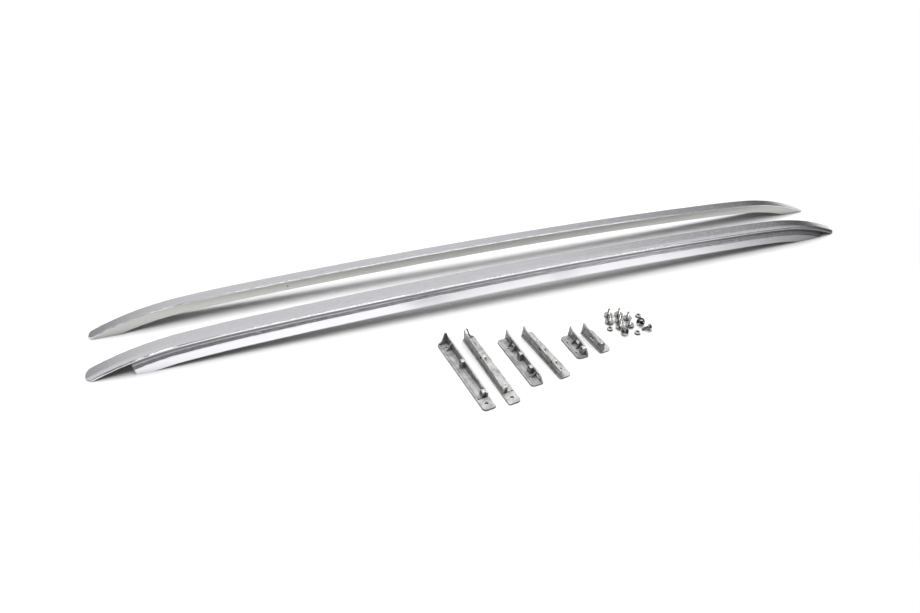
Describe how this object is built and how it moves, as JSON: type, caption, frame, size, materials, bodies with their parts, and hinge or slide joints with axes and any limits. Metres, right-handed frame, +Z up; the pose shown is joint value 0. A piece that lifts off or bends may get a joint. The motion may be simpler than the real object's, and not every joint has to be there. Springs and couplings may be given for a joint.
{
  "type": "roof side rail pair",
  "caption": "Long, gently bowed aluminium roof side rails lying on the floor, with cast mounting feet and loose flange screws and nuts beside them.",
  "frame": {"origin": "on the floor, under the middle of the whole layout", "axes": "+X along the rails towards their sharper front ends, +Y from the feet and screws towards the rails, +Z up"},
  "size_m": [1.9054, 0.5066, 0.0747],
  "materials": {
    "rail_aluminium": "satin silver, smooth",
    "foot_casting": "bare die casting, slightly rough",
    "zinc_steel": "bright zinc plating"
  },
  "bodies": {
    "root": {"foot_long_left": "foot_casting", "foot_long_right": "foot_casting", "foot_medium_left": "foot_casting", "foot_medium_right": "foot_casting", "foot_small_left": "foot_casting", "foot_small_right": "foot_casting", "nut_1": "zinc_steel", "nut_2": "zinc_steel", "nut_3": "zinc_steel", "rail_far": "rail_aluminium", "rail_near": "rail_aluminium", "screw_1": "zinc_steel", "screw_10": "zinc_steel", "screw_2": "zinc_steel", "screw_3": "zinc_steel", "screw_4": "zinc_steel", "screw_5": "zinc_steel", "screw_6": "zinc_steel", "screw_7": "zinc_steel", "screw_8": "zinc_steel", "screw_9": "zinc_steel"}
  },
  "joints": []
}
